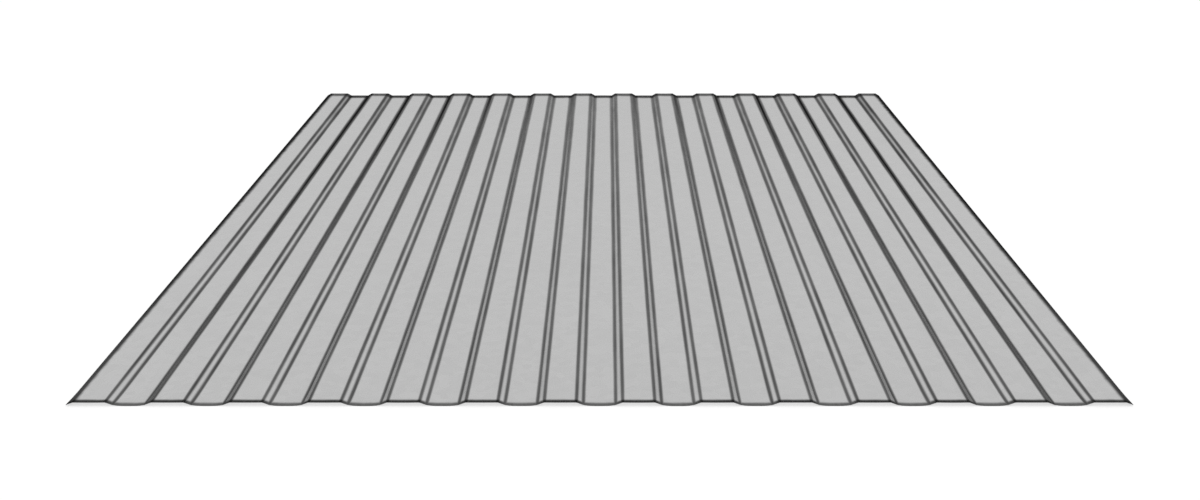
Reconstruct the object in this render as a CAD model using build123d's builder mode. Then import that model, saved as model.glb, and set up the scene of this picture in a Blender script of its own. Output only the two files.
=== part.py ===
"""Corrugated metal sheet: one length of low trapezoidal cladding, roll-formed from flat coil.

Fourteen flat ribs run the whole length, with a flat valley between each two of them.
Each outer rib ends in a web that is turned down to the level of the valleys, so that
it laps over the outer rib of the next sheet.

Frame: X across the ribs, Y along them, Z up. The origin is in the middle of the
underside of the middle valley, which is what the sheet lies on. Millimetres.
"""

import os

from build123d import *

# Driving dimensions, in millimetres. Widths and runs go from bend line to bend line.
sheet_length = 1500.0
sheet_thickness = 0.5
rib_count = 14
rib_pitch = 88.3
rib_top_width = 36.5
web_run = 7.75
profile_depth = 5.0
bend_radius = 2.0

# The middle of the sheet's thickness, on the valley floors and on the rib tops.
valley_level = sheet_thickness / 2
rib_level = profile_depth - sheet_thickness / 2


def rib_bend_points():
    """The bend lines across the sheet, from one outer edge to the other.

    A rib gives four points: the foot of its left web, the two bends of its top and the
    foot of its right web. The valley floor is the straight between two ribs.
    """
    points = []
    for rib in range(rib_count):
        rib_centre = (rib - (rib_count - 1) / 2) * rib_pitch
        top_edge = rib_top_width / 2
        web_foot = top_edge + web_run
        points += [
            (rib_centre - web_foot, valley_level),
            (rib_centre - top_edge, rib_level),
            (rib_centre + top_edge, rib_level),
            (rib_centre + web_foot, valley_level),
        ]
    return points


# The sheet: its section is a strip of even thickness along the bend lines, with every
# bend rounded, and the section runs straight through the whole length.
with BuildPart() as corrugated_sheet:
    with BuildSketch(Plane.XZ.offset(-sheet_length / 2)) as section:
        with BuildLine() as middle_line:
            FilletPolyline(*rib_bend_points(), radius=bend_radius)
        trace(line_width=sheet_thickness)
    extrude(amount=sheet_length)

corrugated_sheet.part.label = "corrugated_sheet"

os.makedirs("parts", exist_ok=True)
export_step(corrugated_sheet.part, "parts/corrugated_sheet.step")

overall_width = (rib_count - 1) * rib_pitch + rib_top_width + 2 * web_run
print(f"overall {overall_width:.1f} x {sheet_length:.1f} x {profile_depth:.1f} mm")
print(f"cover width {(rib_count - 1) * rib_pitch:.1f} mm")
print(f"solid {corrugated_sheet.part.volume / 1000:.1f} cm3")
print(f"box {corrugated_sheet.part.bounding_box()}")
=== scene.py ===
# %% [markdown]
# # A corrugated metal sheet
#
# The object is one length of low trapezoidal cladding. It was a flat strip of thin
# galvanised steel until a row of rolls folded fourteen flat ribs into it, and nothing has
# been joined to it since. It lies flat on a pale studio floor.
#
# This file dresses the measured model. It makes a finer skin for the sheet, gives the zinc
# its finish, and sets up the floor, the light and the camera. Everything is in metres.

# %% Load the measured model
import math

import bmesh
import bpy
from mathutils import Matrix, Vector


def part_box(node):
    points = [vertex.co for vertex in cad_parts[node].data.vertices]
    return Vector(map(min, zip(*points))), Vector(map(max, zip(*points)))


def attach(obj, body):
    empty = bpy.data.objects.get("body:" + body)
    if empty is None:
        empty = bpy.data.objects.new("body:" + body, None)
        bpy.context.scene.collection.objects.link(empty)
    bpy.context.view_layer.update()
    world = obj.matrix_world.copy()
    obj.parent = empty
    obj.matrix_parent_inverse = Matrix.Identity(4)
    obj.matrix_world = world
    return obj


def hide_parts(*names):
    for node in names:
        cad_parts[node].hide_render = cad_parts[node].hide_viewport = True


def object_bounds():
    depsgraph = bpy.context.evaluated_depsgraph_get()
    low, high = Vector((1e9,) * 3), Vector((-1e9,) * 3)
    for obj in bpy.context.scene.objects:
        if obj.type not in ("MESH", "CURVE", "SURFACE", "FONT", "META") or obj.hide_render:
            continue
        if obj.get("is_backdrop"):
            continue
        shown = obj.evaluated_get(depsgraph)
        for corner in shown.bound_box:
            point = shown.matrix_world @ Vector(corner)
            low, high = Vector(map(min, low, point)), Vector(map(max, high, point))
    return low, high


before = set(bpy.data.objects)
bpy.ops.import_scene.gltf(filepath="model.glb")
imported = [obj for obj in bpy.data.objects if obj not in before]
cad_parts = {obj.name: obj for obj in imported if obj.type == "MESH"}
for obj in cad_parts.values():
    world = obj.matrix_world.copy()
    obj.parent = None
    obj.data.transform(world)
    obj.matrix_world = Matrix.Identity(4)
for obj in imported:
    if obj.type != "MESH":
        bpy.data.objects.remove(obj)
measured_low, measured_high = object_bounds()
sheet_low, sheet_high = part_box("corrugated_sheet")
sheet_length = sheet_high.y - sheet_low.y
sheet_depth = sheet_high.z - sheet_low.z
print(f"sheet {sheet_high.x - sheet_low.x:.4f} x {sheet_length:.4f} x {sheet_depth:.4f} m")

# %% [markdown]
# ## The camera
#
# A photograph of parallel ribs fixes its own camera: the bend lines meet at one vanishing
# point, and the ratio of the near width to the far width gives the distance. The numbers
# below come from such a fit. The lens looks straight along the ribs and down on them, and a
# very small sideways shift takes up what was cropped from the picture.
#
# The camera comes first, because every choice of width and tone below is judged through it.

# %% Camera
camera_data = bpy.data.cameras.new("camera")
camera_data.sensor_width = 36.0
camera_data.lens = 40.17
camera_data.shift_x = -0.00605
camera = bpy.data.objects.new("camera", camera_data)
bpy.context.scene.collection.objects.link(camera)

camera_distance = 1.3553    # in front of the near cut end
camera_height = 0.6787
camera_side = 0.0087
camera_tilt = math.radians(19.946)
camera.location = (camera_side, sheet_low.y - camera_distance, camera_height)
camera.rotation_euler = (math.pi / 2 - camera_tilt, 0, 0)
bpy.context.scene.camera = camera
print(f"camera {camera_data.lens} mm at {tuple(round(c, 4) for c in camera.location)}")

# %% [markdown]
# ## The flat strip
#
# Real cladding starts as a flat strip from a coil, so the mesh does too. One grid face is
# the whole strip, seen from above, at the middle of its thickness. `bisect_plane` then
# cuts a line into it wherever the rolls will fold it. Cutting one face with planes is
# quicker than laying out rows of points by hand, and each line lands exactly where a
# named size says.
#
# The strip is drawn at its folded width, because the folds here only lift the rib tops and
# nothing slides sideways.

# %% Bend lines
RIB_COUNT = 14
RIB_PITCH = 0.0883
RIB_TOP = 0.0365
WEB_RUN = 0.00775
STEEL = 0.0005    # thickness

half_pitch = RIB_PITCH / 2
rib_edge = RIB_TOP / 2              # from the middle of a rib to the bend at its top
rib_foot = rib_edge + WEB_RUN       # from the middle of a rib to the bend at its foot
rib_centres = [(rib - (RIB_COUNT - 1) / 2) * RIB_PITCH for rib in range(RIB_COUNT)]
rib_bends = (-rib_foot, -rib_edge, rib_edge, rib_foot)
bend_lines = [centre + bend for centre in rib_centres for bend in rib_bends]
folded_width = bend_lines[-1] - bend_lines[0]
SAME_PLACE = 1e-7    # a vertex this near to a cut counts as on it


def cut_across(strip, axis, place):
    """Cuts every face of the strip that crosses the plane at this place on the axis."""
    everything = strip.verts[:] + strip.edges[:] + strip.faces[:]
    normal = Vector((axis == "x", axis == "y", 0))
    bmesh.ops.bisect_plane(
        strip, geom=everything, dist=SAME_PLACE, plane_co=normal * place, plane_no=normal
    )


strip = bmesh.new()
bmesh.ops.create_grid(strip, x_segments=1, y_segments=1, size=0.5)
bmesh.ops.scale(strip, vec=(folded_width, sheet_length, 1), verts=strip.verts)
for bend_line in bend_lines[1:-1]:
    cut_across(strip, "x", bend_line)
print(f"strip {folded_width:.4f} m wide, {len(bend_lines) - 2} bend lines, {len(strip.faces)} faces")

# %% [markdown]
# ## Roll forming
#
# The rolls push the ribs up between the valleys. On the mesh that is one translate of the
# vertices along the rib tops, and the web faces follow by themselves.
#
# A fold in sheet steel is never a knife edge: it takes the radius of the roll. A bevel on
# the bend lines gives that radius. Its width is not the radius itself but the distance from
# the old corner to where the arc starts, which is the radius times the tangent of half the
# bend angle.

# %% Raise the ribs and round the bends
BEND_RADIUS = 0.002
BEND_SEGMENTS = 5

rise = sheet_depth - STEEL
valley_level = sheet_low.z + STEEL / 2
bmesh.ops.translate(strip, vec=(0, 0, valley_level), verts=strip.verts)


def from_rib_centre(x):
    """How far a point lies from the middle line of the nearest rib."""
    return min(abs(x - centre) for centre in rib_centres)


rib_tops = [v for v in strip.verts if from_rib_centre(v.co.x) < rib_edge + WEB_RUN / 2]
bmesh.ops.translate(strip, vec=(0, 0, rise), verts=rib_tops)

bend_angle = math.atan2(rise, WEB_RUN)
bends = [e for e in strip.edges if len(e.link_faces) == 2]
bmesh.ops.bevel(
    strip,
    geom=bends,
    offset=BEND_RADIUS * math.tan(bend_angle / 2),
    offset_type="OFFSET",
    segments=BEND_SEGMENTS,
    profile=0.5,
    affect="EDGES",
    material=-1,
)
print(f"{len(bends)} bends of {math.degrees(bend_angle):.1f} degrees, {len(strip.faces)} faces")

# %% [markdown]
# ## Crosswise and lengthwise cuts
#
# So far each flat is one long face, which can't bow. Real flats do, by a few tenths of a
# millimetre. So every flat gets a few lines along it, which keep clear of the rounded bends,
# and the whole sheet gets lines across it. Those stand closer together near the ends, where
# the steel moves most.

# %% Cuts for the bowed flats
FLAT_CUTS = 7          # lines along each flat
CUT_WIDTH = 0.94       # the share of a rib top's width that they divide evenly
SPAN_CUTS = 44         # lines across the sheet
END_STEPS = 10         # more lines cut each end into this many steps
END_ZONE = 0.08        # the length of sheet that an end takes up
END_CROWDING = 1.5     # 1 would space the lines there evenly

flat_centres = [i * half_pitch for i in range(-(RIB_COUNT - 1), RIB_COUNT)]
for centre in flat_centres:
    for i in range(FLAT_CUTS):
        share = (i + 1) / (FLAT_CUTS + 1) - 0.5
        cut_across(strip, "x", centre + share * CUT_WIDTH * RIB_TOP)

half_length = sheet_length / 2
span = sheet_length - 2 * END_ZONE
stations = [-span / 2 + span * i / (SPAN_CUTS - 1) for i in range(SPAN_CUTS)]
for i in range(1, END_STEPS):
    from_end = END_ZONE * (i / END_STEPS) ** END_CROWDING
    stations += [from_end - half_length, half_length - from_end]
for station in stations:
    cut_across(strip, "y", station)
print(f"{len(strip.faces)} faces after the cuts")

# %% [markdown]
# ## Slack in the flats
#
# Thin flats between stiff folds never stay quite flat. The fitters call it oil canning: a
# long shallow bulge here and there. It could be sculpted, but a formula that moves the
# vertices is shorter and gives the same sheet each time. The formula is a sum of a few slow
# waves, shifted from flat to flat, and it dies out at the bends, which hold the steel
# straight. Valley floors only rise and rib tops only sink, so the sheet still rests on the
# floor and grows no taller.

# %% Oil canning
BULGE = 0.00022    # the highest bulge in a flat
LEVEL = 0.5        # the bulge that the waves swing about, as a share of the highest
WAVES = (          # a wave's size, its radians per metre, per flat and at the start
    (0.27, 9.1, 2.3, 0.0),
    (0.16, 17.3, -4.1, 1.0),
    (0.07, 31.7, 7.7, 0.0),
)

valley_half = half_pitch - rib_foot    # from the middle of a valley to the bend at its side


def bulge_at(flat, across, along):
    """From 0 to 1: how far this spot of this flat has bulged, with none at its bends."""
    held = max(0.0, 1 - (across / valley_half) ** 2)
    swell = LEVEL
    for size, per_metre, per_flat, start in WAVES:
        swell += size * math.sin(per_metre * along + per_flat * flat + start)
    return held * swell


for v in strip.verts:
    flat = round(v.co.x / half_pitch)
    across = abs(v.co.x - flat * half_pitch)
    is_valley = flat % 2 == 0
    if across < valley_half:
        direction = 1 if is_valley else -1
        v.co.z += direction * BULGE * bulge_at(flat, across, v.co.y)
print(f"{len(flat_centres)} flats bow by up to {BULGE * 1000:.2f} mm")

# %% [markdown]
# ## The sprung end
#
# Where a shear cuts a sheet to length, the folds can spring open a little. The near end in
# the photograph shows that: the feet of the webs have lifted, and each valley floor curls up
# to them at its sides. This too is a formula for the vertices. The lift is full at the feet
# and fades up the web, towards the middle of the valley and away from the cut end.

# %% Lifted feet
FOOT_LIFT = 0.0015       # how far the feet spring up at the near cut end
SPRUNG_LENGTH = 0.045    # how far from the cut end the lift has faded away
SPRING_FADE = 2          # the higher, the nearer to the cut end the lift is gone
CURL = 3                 # the higher, the nearer to the feet a valley floor curls up

for v in strip.verts:
    from_end = v.co.y + half_length
    if from_end < SPRUNG_LENGTH:
        end_share = (1 - from_end / SPRUNG_LENGTH) ** SPRING_FADE
        from_valley = abs(v.co.x - round(v.co.x / RIB_PITCH) * RIB_PITCH)
        if from_valley <= valley_half:
            foot_share = (from_valley / valley_half) ** CURL
        else:
            foot_share = max(0.0, 1 - (from_valley - valley_half) / WEB_RUN)
        v.co.z += FOOT_LIFT * end_share * foot_share

lowest = min(v.co.z for v in strip.verts)
highest = max(v.co.z for v in strip.verts)
print(f"mid surface from {lowest * 1000:.2f} to {highest * 1000:.2f} mm")

# %% [markdown]
# ## Thickness and shading
#
# The strip is still a surface with no thickness. A Solidify modifier adds half of the steel
# on each side of it, so the finished faces lie where the measured ones do, and it closes the
# cut ends with a rim. A small Bevel takes the sharpness off the sheared edges. It only acts
# on angles far larger than one step of a rounded bend.
#
# Smooth shading across a wide flat and a narrow bend strip would smear a gradient over the
# flat. Weighted Normal gives the large face the say, so flats stay flat and bends stay round.

# %% Finish the sheet's mesh
SHEARED_EDGE = 0.00006

bmesh.ops.recalc_face_normals(strip, faces=strip.faces)
if strip.faces[0].normal.z < 0:
    bmesh.ops.reverse_faces(strip, faces=strip.faces)
for face in strip.faces:
    face.smooth = True
strip_mesh = bpy.data.meshes.new("rolled_sheet")
strip.to_mesh(strip_mesh)
strip.free()
rolled_sheet = bpy.data.objects.new("rolled_sheet", strip_mesh)
bpy.context.scene.collection.objects.link(rolled_sheet)

thickness = rolled_sheet.modifiers.new("steel thickness", "SOLIDIFY")
thickness.thickness = STEEL
thickness.offset = 0
thickness.use_even_offset = True
sheared = rolled_sheet.modifiers.new("sheared edge", "BEVEL")
sheared.width = SHEARED_EDGE
sheared.segments = 2
sheared.limit_method = "ANGLE"
sheared.angle_limit = math.radians(60)
rolled_sheet.modifiers.new("flats first", "WEIGHTED_NORMAL")
print(f"rolled_sheet has {len(strip_mesh.polygons)} faces before its thickness")

# %% [markdown]
# ## Writing shader maths as expressions
#
# A finish is a sum of small effects, and a sum is easier to read as Python than as a list of
# node links. `Number` wraps one socket. Adding, multiplying or comparing it makes the Math
# node and wraps the result. The reflected forms let a plain number stand on the left, as in
# `1 - mask`.

# %% Numbers in a node tree
class Number:
    """One number socket of a node tree, with operators that add Math nodes."""

    def __init__(self, tree, socket):
        self.tree = tree
        self.socket = socket

    def math(self, operation, *values):
        """Adds a Math node for this operation and wraps its result."""
        made = self.tree.nodes.new("ShaderNodeMath")
        made.operation = operation
        for slot, value in zip(made.inputs, values):
            if isinstance(value, Number):
                self.tree.links.new(value.socket, slot)
            else:
                slot.default_value = value
        return Number(self.tree, made.outputs[0])

    def __add__(self, other):
        return self.math("ADD", self, other)

    def __radd__(self, other):
        return self.math("ADD", other, self)

    def __sub__(self, other):
        return self.math("SUBTRACT", self, other)

    def __rsub__(self, other):
        return self.math("SUBTRACT", other, self)

    def __mul__(self, other):
        return self.math("MULTIPLY", self, other)

    def __rmul__(self, other):
        return self.math("MULTIPLY", other, self)

    def __truediv__(self, other):
        return self.math("DIVIDE", self, other)

    def __abs__(self):
        return self.math("ABSOLUTE", self)

    def at_most(self, other):
        return self.math("MINIMUM", self, other)

    def at_least(self, other):
        return self.math("MAXIMUM", self, other)

    def folded(self, reach):
        """Runs up to reach and back down to 0, over and over, as the value grows."""
        return self.math("PINGPONG", self, reach)

    def wrapped(self, low, high):
        """Starts again at low each time it reaches high."""
        return self.math("WRAP", self, high, low)

    def more_than(self, other):
        """1 where it is more than the other value, otherwise 0."""
        return self.math("GREATER_THAN", self, other)


print("Number has", ", ".join(name for name in vars(Number) if name[0] != "_"))

# %% [markdown]
# ## One way to add a node
#
# `Finish` owns the node tree of a material or of the world. Its `node` method makes any
# other node from its type, its settings and its inputs, and the settings come first because
# some of them decide which sockets exist. An input is named by its label, or by its place in
# the list where two share a label, as on Mix Shader.

# %% Node trees
class Finish:
    """The node tree of a material or of the world, and one way to add a node to it."""

    def __init__(self, owner):
        owner.use_nodes = True
        self.tree = owner.node_tree
        self.tree.nodes.clear()

    def node(self, kind, settings=None, inputs=None):
        """Adds a node of this kind, sets it, and fills or links its inputs."""
        made = self.tree.nodes.new(kind)
        for name, value in (settings or {}).items():
            setattr(made, name, value)
        for name, value in (inputs or {}).items():
            if isinstance(value, Number):
                value = value.socket
            if isinstance(value, bpy.types.NodeSocket):
                self.tree.links.new(value, made.inputs[name])
            else:
                made.inputs[name].default_value = value
        return made

    def number(self, made, output=0):
        """What comes out of a node, as a Number."""
        return Number(self.tree, made.outputs[output])

    def stretched(self, place, scale):
        """The same place, scaled by a different amount along each axis."""
        return self.node("ShaderNodeMapping", {}, {"Vector": place, "Scale": scale}).outputs[0]

    def noise(self, place, scale=1.0, detail=2.0):
        """Soft noise, from about -0.5 to 0.5."""
        made = self.node(
            "ShaderNodeTexNoise",
            {"noise_dimensions": "3D"},
            {"Vector": place, "Scale": scale, "Detail": detail},
        )
        return self.number(made) - 0.5

    def fading(self, value, full, gone):
        """1 up to where the value is full, running smoothly down to 0 where it is gone."""
        made = self.node(
            "ShaderNodeMapRange",
            {"interpolation_type": "SMOOTHSTEP"},
            {"Value": value, "From Min": full, "From Max": gone, "To Min": 1.0, "To Max": 0.0},
        )
        return self.number(made)


def grey(tone):
    return (tone, tone, tone, 1.0)


print("Finish has", ", ".join(name for name in vars(Finish) if name[0] != "_"))

# %% [markdown]
# ## Where the bends are
#
# The finish has to know how far a point is from the nearest bend, because the rolls leave
# their mark there. The ribs repeat, so one folded coordinate answers that for all of them:
# the distance from the middle of the nearest valley runs up to half a pitch and back down.
# Object coordinates give it, because the sheet's object sits at the origin. The two cut ends
# and the two side edges need no folding.

# %% Distances on the sheet
zinc = bpy.data.materials.new("galvanised_steel")
finish = Finish(zinc)
place = finish.node("ShaderNodeTexCoord").outputs["Object"]
split = finish.node("ShaderNodeSeparateXYZ", {}, {"Vector": place})
across = finish.number(split, "X")
along = finish.number(split, "Y")

rib_top_bend = half_pitch - rib_edge    # from the middle of a valley to a bend at a rib's top
from_valley = across.folded(half_pitch)
past_foot = from_valley - valley_half
past_top = from_valley - rib_top_bend
to_web_middle = abs(from_valley - (valley_half + rib_top_bend) / 2)
to_side = folded_width / 2 - abs(across)
to_near_end = half_length + along
to_far_end = half_length - along
far_share = to_near_end * (1 / sheet_length)
outward_share = abs(across) * (2 / folded_width)


def towards_far_end(near, far):
    """Runs evenly from one value at the near end to another at the far end."""
    return near + (far - near) * far_share


def towards_sides(middle, side):
    """Runs evenly from one value in the middle of the sheet to another at both sides."""
    return middle + (side - middle) * outward_share


print(f"bends at {valley_half:.5f} and {rib_top_bend:.5f} m from a valley's middle")

# %% [markdown]
# ## The zinc
#
# Hot dip galvanising leaves the zinc in crystals, the spangle. On roofing steel it is small
# and faint: each crystal is a slightly different grey, and a little rougher or smoother than
# the next. A Voronoi texture makes the cells, and a random shade for each is its colour
# output. The coil also carries faint lines along its length, from the rolls, and its zinc
# is a little paler or duller in broad clouds. Noise makes both, drawn out for the lines.
#
# Each effect stays within a few percent. From across the room the sheet is an even grey.

# %% Spangle and roller lines
ZINC_TONE = 0.488
SPANGLE_SIZE = 0.011
SPANGLE_CONTRAST = 0.06              # from the darkest crystal to the palest
ROLLER_LINES = (620.0, 2.2, 60.0)    # how fine the noise is across, along and in height
ROLLER_CONTRAST = 0.05
CLOUDS = 7.0                         # how fine the noise is, along every axis
CLOUD_CONTRAST = 0.05

crystals = finish.node(
    "ShaderNodeTexVoronoi",
    {"voronoi_dimensions": "3D", "feature": "F1"},
    {"Vector": place, "Scale": 1 / SPANGLE_SIZE, "Randomness": 1.0},
)
crystal_shade = finish.number(
    finish.node("ShaderNodeSeparateColor", {}, {"Color": crystals.outputs["Color"]})
) - 0.5
roller_lines = finish.noise(finish.stretched(place, ROLLER_LINES), detail=3.0)
clouds = finish.noise(place, CLOUDS, detail=3.0)
lines_and_clouds = ROLLER_CONTRAST * roller_lines + CLOUD_CONTRAST * clouds
evenness = 1 + SPANGLE_CONTRAST * crystal_shade + lines_and_clouds
print(f"spangle {SPANGLE_SIZE * 1000:.0f} mm, tone {ZINC_TONE}")

# %% [markdown]
# ## Painted shade along the bends
#
# Every bend gets a narrow dark line of painted shade, which stands for the shade in the
# crease where the steel turns. When the light is even, these lines are what draws the
# ribs, so they matter more here than any shadow.
#
# A smooth step on the distance from the bend makes a line with soft sides, and a little
# noise keeps it from looking ruled. The result is a cover: 0 on clean zinc, and 1 where the
# painted shade hides it.
#
# In the photograph the lines look as wide far away as close by, so they widen towards the
# far end. They also look darker towards the sides than in the middle. So a mark has a cover
# for the middle and one for the sides, at each end, and runs evenly between them. The middle
# of a mark lies up to 0.7 mm off its bend, on to the flats.

# %% Painted shade along the bends
NEAR_MARK = 0.0038             # width of a bend's mark
FAR_MARK = (0.0076, 0.0070)    # and at the far end, in the middle and at the sides
NEAR_COVER = (0.79, 0.85)
FAR_COVER = (0.69, 0.90)
OFF_FOOT = (0.0, 0.0003)       # how far on to the valley floor a foot's mark lies, near and far
OFF_TOP = (0.0002, 0.0007)     # and on to the rib top, for the mark of a bend at the top
MARK_FADE = (0.35, 1.7)        # where it starts to fade and is gone, in halves of its width
UNEVEN = (90.0, 9.0, 90.0)     # how fine the noise is across, along and in height
UNEVEN_WIDTH = 0.3             # from the thinnest place of a mark to its widest
UNEVEN_COVER = 0.2             # and from its palest place to its darkest

unevenness = finish.noise(finish.stretched(place, UNEVEN))
mark_width = towards_far_end(NEAR_MARK, towards_sides(*FAR_MARK))
half_mark = mark_width * (1 + UNEVEN_WIDTH * unevenness) * 0.5
to_foot_mark = abs(past_foot + towards_far_end(*OFF_FOOT))
to_top_mark = abs(past_top - towards_far_end(*OFF_TOP))
foot_mark = finish.fading(to_foot_mark / half_mark, *MARK_FADE)
top_mark = finish.fading(to_top_mark / half_mark, *MARK_FADE)
mark_cover = towards_far_end(towards_sides(*NEAR_COVER), towards_sides(*FAR_COVER))
# Painted shade along each bend, standing for the shade in its crease.
bend_shade = (foot_mark + top_mark).at_most(1.0) * (mark_cover + UNEVEN_COVER * unevenness)
print(f"bend marks {NEAR_MARK * 1000:.1f} to {FAR_MARK[0] * 1000:.1f} mm wide")

# %% [markdown]
# ## Painted shade on the outward webs
#
# In the photograph the webs that face away from the middle of the sheet read as dark bands,
# and the outermost are darkest. Those webs are turned away from the view, so they get
# painted shade, and it grows towards the side edges.
#
# The sign of two numbers tells which way a web faces: the place across the sheet, and the
# place across its own rib, which the `WRAP` operation gives. Their product is above 0 on the
# outward side of every rib.

# %% Painted shade on the outward webs
NEAR_WEB_SHADE = (-0.58, 0.88)        # cover in the middle and at the sides, none where it is below 0
FAR_WEB_SHADE = (0.76, 1.36)
WEB_SHADE_WIDTH = (0.0110, 0.0150)    # near and far, past the web on to the flats beside it
WEB_SHADE_FADE = (0.15, 1.5)          # where it starts to fade and is gone, in halves of its width

on_web = finish.fading(to_web_middle * 2 / towards_far_end(*WEB_SHADE_WIDTH), *WEB_SHADE_FADE)
across_rib = across.wrapped(0, RIB_PITCH) - half_pitch
faces_outward = (across_rib * across).more_than(0)
web_shade_depth = towards_far_end(towards_sides(*NEAR_WEB_SHADE), towards_sides(*FAR_WEB_SHADE))
# Painted shade on the webs that face away from the middle of the sheet, darkest at the sides.
outward_web_shade = on_web * faces_outward * web_shade_depth
print(f"film on outward webs up to {NEAR_WEB_SHADE[1]} near and {FAR_WEB_SHADE[1]} far")

# %% [markdown]
# ## Strips at the cut ends
#
# The sheet was sheared to length, and a strip of painted shade along both cuts draws each
# cut end dark. Each strip is a smooth step on the distance from its end, and coarse noise
# makes it ragged. At the near end it is darker and a little narrower on the rib tops than in
# the valleys, and at the far end it is lighter there. The height of a point tells the two apart.

# %% Painted shade at the cut ends
NEAR_END_MARK = (0.0078, 0.0068)    # width of the strip in the valleys and on the ribs
NEAR_END_COVER = (0.76, 0.95)
NEAR_END_FADE = (0.5, 1.4)          # where it starts to fade and is gone, in widths
FAR_END_MARK = 0.0240
FAR_END_COVER = (0.92, 0.80)
FAR_END_FADE = (0.7, 1.3)
RAG_SCALE = 70.0                    # how fine the noise is, along every axis
RAG_DEPTH = 0.3                     # from the narrowest place of a strip to its widest

on_rib = finish.number(split, "Z") * (1 / sheet_depth)
ragged = 1 + RAG_DEPTH * finish.noise(place, RAG_SCALE)


def towards_rib_tops(valley, rib):
    """Runs evenly from one value on the valley floors to another on the rib tops."""
    return valley + (rib - valley) * on_rib


# Painted shade along the near cut end, deepest on the rib tops, and along the far cut end.
near_end_width = towards_rib_tops(*NEAR_END_MARK) * ragged
near_end_fade = finish.fading(to_near_end / near_end_width, *NEAR_END_FADE)
near_end = towards_rib_tops(*NEAR_END_COVER) * near_end_fade
far_end_fade = finish.fading(to_far_end / (FAR_END_MARK * ragged), *FAR_END_FADE)
far_end = towards_rib_tops(*FAR_END_COVER) * far_end_fade
print(f"end marks {NEAR_END_MARK[1] * 1000:.1f} to {FAR_END_MARK * 1000:.1f} mm wide")

# %% [markdown]
# ## Strips along the sides
#
# The coil was slit to width before it was rolled, and a strip of painted shade along both
# sides draws the side edges dark. It is made as the strips at the ends are. A side edge is
# also the foot of the outermost web, and the strip covers all of that web.

# %% Painted shade along the sides
SIDE_MARK = (0.0100, 0.0135)    # width of the strip at the near and at the far end
SIDE_COVER = (0.92, 1.0)
SIDE_FADE = (0.7, 1.3)

# Painted shade along both side edges, over the outermost webs.
side_fade = finish.fading(to_side / (towards_far_end(*SIDE_MARK) * ragged), *SIDE_FADE)
side = towards_far_end(*SIDE_COVER) * side_fade
print(f"side marks {SIDE_MARK[0] * 1000:.1f} to {SIDE_MARK[1] * 1000:.1f} mm wide")

# %% [markdown]
# ## Two layers of painted shade
#
# What runs along the sheet is one layer of painted shade, so its covers aren't added up:
# `at_least` keeps whichever is more. The strips of painted shade at the cut ends are a second
# layer. Two layers let through the product of what each of them lets through, and that makes
# the dark knots at the corners of the ribs. At the near end the knots fade down the webs,
# because the photograph has none in the valleys there.
#
# Seen from close by, an even black would look flat. Fine streaks of noise along the sheet
# thin the painted shade here and there.

# %% Lay the painted shade on
THICKEST = 1.03                   # painted shade so deep that only the lightest streaks thin it
STREAKS = (800.0, 12.0, 800.0)    # how fine the noise is across, along and in height
STREAK_DEPTH = 0.2                # from the lightest streak to the heaviest

# The painted shade of the bends, the outward webs and the sides, laid on as one layer.
lengthwise_shade = bend_shade.at_least(outward_web_shade).at_least(side)
cut_end_shade = (near_end * on_rib).at_least(far_end)
layers = (1 - (1 - lengthwise_shade) * (1 - cut_end_shade)).at_least(near_end)
streaks = finish.noise(finish.stretched(place, STREAKS), detail=3.0)
cover = (layers.at_most(THICKEST) * (1 + STREAK_DEPTH * streaks)).at_most(1.0)
print(f"streaks take up to {STREAK_DEPTH / 2:.0%} off the dirt")

# %% [markdown]
# ## Gloss and grain
#
# Zinc is a metal, so its colour is the colour of its reflections, and how sharp those are
# is the roughness. New galvanised sheet is satin, and the crystals differ a little. A bump
# of two hundredths of a millimetre gives them a surface that turns the light.
#
# The painted shade could have been a darker colour of the same metal, but every metal turns
# pale when it is seen at a low angle, and so would the marks. The painted shade is a dull
# near-black that mirrors nothing, so it is a shader of its own. A Mix Shader lays it over the
# zinc, with the cover as its factor.

# %% Assemble the finish
SATIN = 0.27
SATIN_SPREAD = 0.03    # from the smoothest crystal to the roughest, and so for roller lines
BUMP_HEIGHT = 0.00002
BUMP_STRENGTH = 0.2
# Tone and roughness of the painted shade.
SHADE_TONE = 0.012
SHADE_ROUGHNESS = 0.8

grain = crystal_shade + roller_lines
zinc_tone = ZINC_TONE * evenness
zinc_colour = finish.node(
    "ShaderNodeCombineColor", {}, {"Red": zinc_tone, "Green": zinc_tone, "Blue": zinc_tone}
)
relief = finish.node(
    "ShaderNodeBump",
    {},
    {"Strength": BUMP_STRENGTH, "Distance": BUMP_HEIGHT, "Height": grain},
)
bare_zinc = finish.node(
    "ShaderNodeBsdfPrincipled",
    {},
    {
        "Base Color": zinc_colour.outputs[0],
        "Metallic": 1.0,
        "Roughness": SATIN + SATIN_SPREAD * grain,
        "Normal": relief.outputs[0],
    },
)
# Painted shade: a dull near-black laid over the zinc wherever the cover says.
painted_shade = finish.node(
    "ShaderNodeBsdfPrincipled",
    {},
    {"Base Color": grey(SHADE_TONE), "Roughness": SHADE_ROUGHNESS, "Specular IOR Level": 0.0},
)
shaded_zinc = finish.node(
    "ShaderNodeMixShader", {}, {0: cover, 1: bare_zinc.outputs[0], 2: painted_shade.outputs[0]}
)
finish.node("ShaderNodeOutputMaterial", {}, {"Surface": shaded_zinc.outputs[0]})
rolled_sheet.data.materials.append(zinc)
print(f"finish has {len(finish.tree.nodes)} nodes")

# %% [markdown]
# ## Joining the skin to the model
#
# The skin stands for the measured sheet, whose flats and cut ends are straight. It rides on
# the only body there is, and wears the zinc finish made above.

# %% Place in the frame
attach(rolled_sheet, "root")
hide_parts("corrugated_sheet")
print(f"{rolled_sheet.name} stands for corrugated_sheet")

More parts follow.
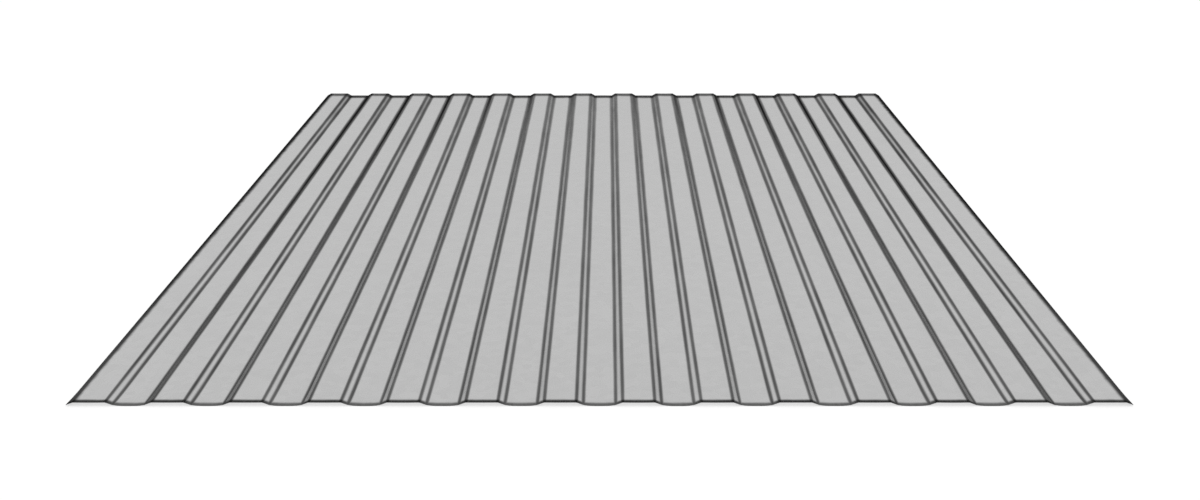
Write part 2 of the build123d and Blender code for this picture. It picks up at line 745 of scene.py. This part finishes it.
# %% [markdown]
# ## Which rays see the background
#
# The photograph has a pure white background. Lighting a floor until it burns out would burn
# out the sheet as well. `Light Path` gives a gentler way: it tells a node what kind of ray
# asks. A ray from the camera, or one that left a shiny surface, can be given white, while a
# ray that carries light to a surface gets a plainer level.

# %% Kinds of ray
WHITE = (1.0, 1.0, 1.0, 1.0)


def ray_kinds(finish):
    """1 for a ray straight from the camera, and 1 for one that a shiny surface sends on."""
    path = finish.node("ShaderNodeLightPath")
    sent_on = finish.number(path, "Is Glossy Ray") + finish.number(path, "Is Transmission Ray")
    return finish.number(path, "Is Camera Ray"), sent_on.at_most(1.0)


print("white is", WHITE[:3])

# %% [markdown]
# ## The floor
#
# The sheet lies on white paper. About two thirds of what the camera sees of the paper is
# its own white, and the rest is the light that falls on it, so the shadow under the ribs'
# ends stays but is faint. The plane is so wide that its far edge lies close to the horizon.

# %% Floor
FLOOR_SIZE = 60.0
FLOOR_TONE = 0.95
FLOOR_OWN_WHITE = 0.65

floor_shape = bmesh.new()
bmesh.ops.create_grid(floor_shape, x_segments=1, y_segments=1, size=FLOOR_SIZE / 2)
floor_mesh = bpy.data.meshes.new("floor")
floor_shape.to_mesh(floor_mesh)
floor_shape.free()
floor = bpy.data.objects.new("floor", floor_mesh)
bpy.context.scene.collection.objects.link(floor)
floor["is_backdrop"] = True

white_paper = bpy.data.materials.new("white_paper")
paper = Finish(white_paper)
from_camera, sent_on = ray_kinds(paper)
lit = paper.node("ShaderNodeBsdfDiffuse", {}, {"Color": grey(FLOOR_TONE)})
glow = paper.node("ShaderNodeEmission", {}, {"Color": WHITE, "Strength": 1.0})
own_white = (from_camera + sent_on) * FLOOR_OWN_WHITE
paper_surface = paper.node(
    "ShaderNodeMixShader", {}, {0: own_white, 1: lit.outputs[0], 2: glow.outputs[0]}
)
paper.node("ShaderNodeOutputMaterial", {}, {"Surface": paper_surface.outputs[0]})
floor_mesh.materials.append(white_paper)
print(f"floor {FLOOR_SIZE:.0f} m wide")

# %% [markdown]
# ## The sky
#
# The world is white too. Steel seen at a low angle mirrors more of it, so an even sky would
# turn the far end of the sheet paler than the near end. A studio's walls are darker than its
# ceiling, and the same is done here: what a reflection sees near the horizon is dimmer.

# %% World
SKY_FILL = 0.93        # the level that lights the floor and the sheet
HORIZON = 0.25         # what is left of the white in a reflection of the horizon
CLEAR_SKY = 0.30       # the sine of the elevation from which a reflection is fully white

studio = bpy.data.worlds.new("studio")
bpy.context.scene.world = studio
sky = Finish(studio)
from_camera, sent_on = ray_kinds(sky)
looking = sky.node("ShaderNodeTexCoord").outputs["Generated"]
upwards = sky.number(sky.node("ShaderNodeSeparateXYZ", {}, {"Vector": looking}), "Z")
mirrored = 1 - (1 - HORIZON) * sky.fading(upwards, 0.0, CLEAR_SKY)
level = from_camera + sent_on * mirrored + (1 - from_camera - sent_on) * SKY_FILL
backdrop = sky.node("ShaderNodeBackground", {}, {"Color": WHITE, "Strength": level})
sky.node("ShaderNodeOutputWorld", {}, {"Surface": backdrop.outputs[0]})
print(f"sky lights at {SKY_FILL}")

# %% [markdown]
# ## The lamps
#
# Light from a whole sky has no direction, so a sheet five millimetres deep would hardly
# stand out from the floor. A very wide sun, high up in front, stands for a lit ceiling: it
# reaches all of the floor evenly, and its shadow is soft. One softbox overhead gives the
# steel a sheen when it is seen from above.
#
# Both are weak. The steel mirrors them on top of the sky, and a strong lamp would burn a
# white patch into the sheet from some side.

# %% Lamps
def aimed(name, kind, place, target):
    """A lamp of this kind at a place, turned to a target."""
    lamp = bpy.data.lights.new(name, kind)
    holder = bpy.data.objects.new(name, lamp)
    holder.location = place
    holder.rotation_euler = (Vector(target) - Vector(place)).to_track_quat("-Z", "Y").to_euler()
    bpy.context.scene.collection.objects.link(holder)
    return lamp


ceiling = aimed("ceiling", "SUN", place=(-0.6, -1.6, 4.0), target=(0, 0, 0))
ceiling.energy = 0.5
ceiling.angle = math.radians(75)
softbox = aimed("overhead_softbox", "AREA", place=(-0.8, -0.6, 3.2), target=(0, 0, 0))
softbox.size = 2.5
softbox.energy = 9.0
bpy.context.scene.view_settings.view_transform = "Standard"
print(f"ceiling {ceiling.energy}, softbox {softbox.energy} W")

# %% [markdown]
# ## Sizes, and the end
#
# The dressed sheet's box is set against the measured sheet's box, and for each corner the
# difference between them is printed. The dressed sheet has to stay in the measured sheet's
# box.

# %% Write the sizes and finish
dressed_low, dressed_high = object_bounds()
for corner, measured, dressed in (
    ("low", measured_low, dressed_low),
    ("high", measured_high, dressed_high),
):
    differs = [round((d - m) * 1000, 3) for m, d in zip(measured, dressed)]
    print(f"the {corner} corner differs by {differs} mm")
